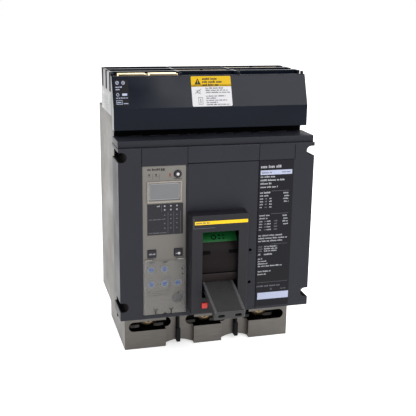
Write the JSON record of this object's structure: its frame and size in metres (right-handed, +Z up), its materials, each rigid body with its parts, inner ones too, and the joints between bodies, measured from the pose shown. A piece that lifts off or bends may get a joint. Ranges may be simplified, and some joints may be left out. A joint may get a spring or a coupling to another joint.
{
  "type": "molded case circuit breaker",
  "caption": "Plug-on three-pole molded case breaker with a slotted line end, slanted hood, toggle handle, electronic trip unit and load lugs below.",
  "frame": {"origin": "centre of the four mounting holes, on the back plane", "axes": "+X to the right seen from the front, +Y into the panel, +Z up to the line end"},
  "size_m": [0.21, 0.1994, 0.3046],
  "materials": {
    "case_plastic": "matte moulded",
    "inner_plastic": "matte moulded",
    "handle_plastic": "satin moulded",
    "shutter_plastic": "satin",
    "yellow_print": "printed film",
    "dark_print": "printed film",
    "trip_face_plastic": "satin moulded",
    "display_film": "satin film",
    "graph_film": "satin film",
    "clear_cover": "clear",
    "key_plastic": "satin",
    "button_plastic": "satin",
    "dial_plastic": "satin",
    "plug_plastic": "satin",
    "board": "solder mask",
    "coil": "potted",
    "steel": "zinc plated",
    "plated_screw": "nickel plated",
    "copper": "bare copper",
    "jaw_plating": "plated",
    "lug_metal": "brushed and plated",
    "red_plastic": "satin"
  },
  "bodies": {
    "case": {"base_case": "case_plastic", "front_cover": "case_plastic", "arc_vent_bar": "case_plastic", "accessory_cover": "case_plastic", "handle_escutcheon": "case_plastic", "line_end_housing": "case_plastic", "line_end_hood": "case_plastic", "phase_separators": "case_plastic", "trip_unit_case": "inner_plastic", "yellow_band": "yellow_print", "caution_label": "yellow_print", "rating_label": "dark_print", "approval_label": "dark_print", "trip_unit_face": "trip_face_plastic", "display_bezel": "trip_face_plastic", "display_window": "display_film", "bargraph_window": "graph_film", "rating_plug": "plug_plastic", "circuit_board": "board", "trip_actuator": "coil", "current_transformers": "coil", "mounting_straps": "steel", "case_screws": "steel", "settings_cover_pin": "steel", "handle_pivots": "steel", "mechanism_frame": "steel", "arc_chutes": "steel", "pressure_bars": "steel", "lug_screws": "plated_screw", "line_terminal_1": "copper", "line_terminal_2": "copper", "line_terminal_3": "copper", "load_straps": "copper", "flexible_connectors": "copper", "line_jaw_1": "jaw_plating", "line_jaw_2": "jaw_plating", "line_jaw_3": "jaw_plating", "load_lug_1": "lug_metal", "load_lug_2": "lug_metal", "load_lug_3": "lug_metal"},
    "handle": {"handle": "handle_plastic", "indicator_shutter": "shutter_plastic", "handle_yoke": "steel", "mechanism_springs": "steel"},
    "crossbar": {"crossbar": "inner_plastic", "contact_arm_1": "copper", "contact_arm_2": "copper", "contact_arm_3": "copper"},
    "settings_cover": {"settings_cover": "clear_cover"},
    "menu_key": {"menu_key": "key_plastic"},
    "arrow_key": {"arrow_key": "key_plastic"},
    "reset_button": {"reset_button": "button_plastic"},
    "push_to_trip_button": {"push_to_trip_button": "red_plastic"},
    "trip_bar": {"trip_bar": "inner_plastic"},
    "cradle": {"cradle": "steel"},
    "dial_1": {"dial_1": "dial_plastic"},
    "dial_2": {"dial_2": "dial_plastic"},
    "dial_3": {"dial_3": "dial_plastic"},
    "dial_4": {"dial_4": "dial_plastic"},
    "dial_5": {"dial_5": "dial_plastic"}
  },
  "joints": [
    {"name": "handle_swing", "type": "hinge", "parent": "case", "child": "handle", "pos_m": [0, -0.117, -0.036], "axis": [-1, 0, 0], "range_deg": [0, 50]},
    {"name": "crossbar_turn", "type": "hinge", "parent": "case", "child": "crossbar", "pos_m": [0, -0.051, 0], "axis": [-1, 0, 0], "range_deg": [0, 28.2]},
    {"name": "settings_cover_hinge", "type": "hinge", "parent": "case", "child": "settings_cover", "pos_m": [0, -0.14755, -0.0296], "axis": [-1, 0, 0], "range_deg": [0, 110]},
    {"name": "push_to_trip_slide", "type": "slide", "parent": "case", "child": "push_to_trip_button", "axis": [0, 1, 0], "range_m": [0, 0.002], "stiffness_N_per_m": 400, "springref_m": -0.001},
    {"name": "trip_bar_turn", "type": "hinge", "parent": "case", "child": "trip_bar", "pos_m": [0, -0.104, -0.088], "axis": [-1, 0, 0], "range_deg": [0, 15.2]},
    {"name": "cradle_turn", "type": "hinge", "parent": "case", "child": "cradle", "pos_m": [0, -0.073, 0.005], "axis": [1, 0, 0], "range_deg": [0, 10.1]},
    {"name": "menu_key_slide", "type": "slide", "parent": "case", "child": "menu_key", "axis": [0, 1, 0], "range_m": [0, 0.0008], "stiffness_N_per_m": 400, "springref_m": -0.001},
    {"name": "arrow_key_slide", "type": "slide", "parent": "case", "child": "arrow_key", "axis": [0, 1, 0], "range_m": [0, 0.0008], "stiffness_N_per_m": 400, "springref_m": -0.001},
    {"name": "reset_button_slide", "type": "slide", "parent": "case", "child": "reset_button", "axis": [0, 1, 0], "range_m": [0, 0.0012], "stiffness_N_per_m": 400, "springref_m": -0.001},
    {"name": "dial_1_turn", "type": "hinge", "parent": "case", "child": "dial_1", "pos_m": [-0.0718, -0.147, -0.0404], "axis": [0, 1, 0], "range_deg": [-60, 180]},
    {"name": "dial_2_turn", "type": "hinge", "parent": "case", "child": "dial_2", "pos_m": [-0.0577, -0.147, -0.0404], "axis": [0, 1, 0], "range_deg": [-120, 120]},
    {"name": "dial_3_turn", "type": "hinge", "parent": "case", "child": "dial_3", "pos_m": [-0.0718, -0.147, -0.0564], "axis": [0, 1, 0], "range_deg": [-90, 150]},
    {"name": "dial_4_turn", "type": "hinge", "parent": "case", "child": "dial_4", "pos_m": [-0.0577, -0.147, -0.0564], "axis": [0, 1, 0], "range_deg": [-180, 60]},
    {"name": "dial_5_turn", "type": "hinge", "parent": "case", "child": "dial_5", "pos_m": [-0.0433, -0.147, -0.0564], "axis": [0, 1, 0], "range_deg": [-30, 210]}
  ],
  "couplings": [
    {"joint": "crossbar_turn", "follows": "handle_swing", "ratio": 0.56},
    {"joint": "trip_bar_turn", "follows": "push_to_trip_slide", "rad_per_m": 132},
    {"joint": "cradle_turn", "follows": "push_to_trip_slide", "rad_per_m": 87}
  ]
}
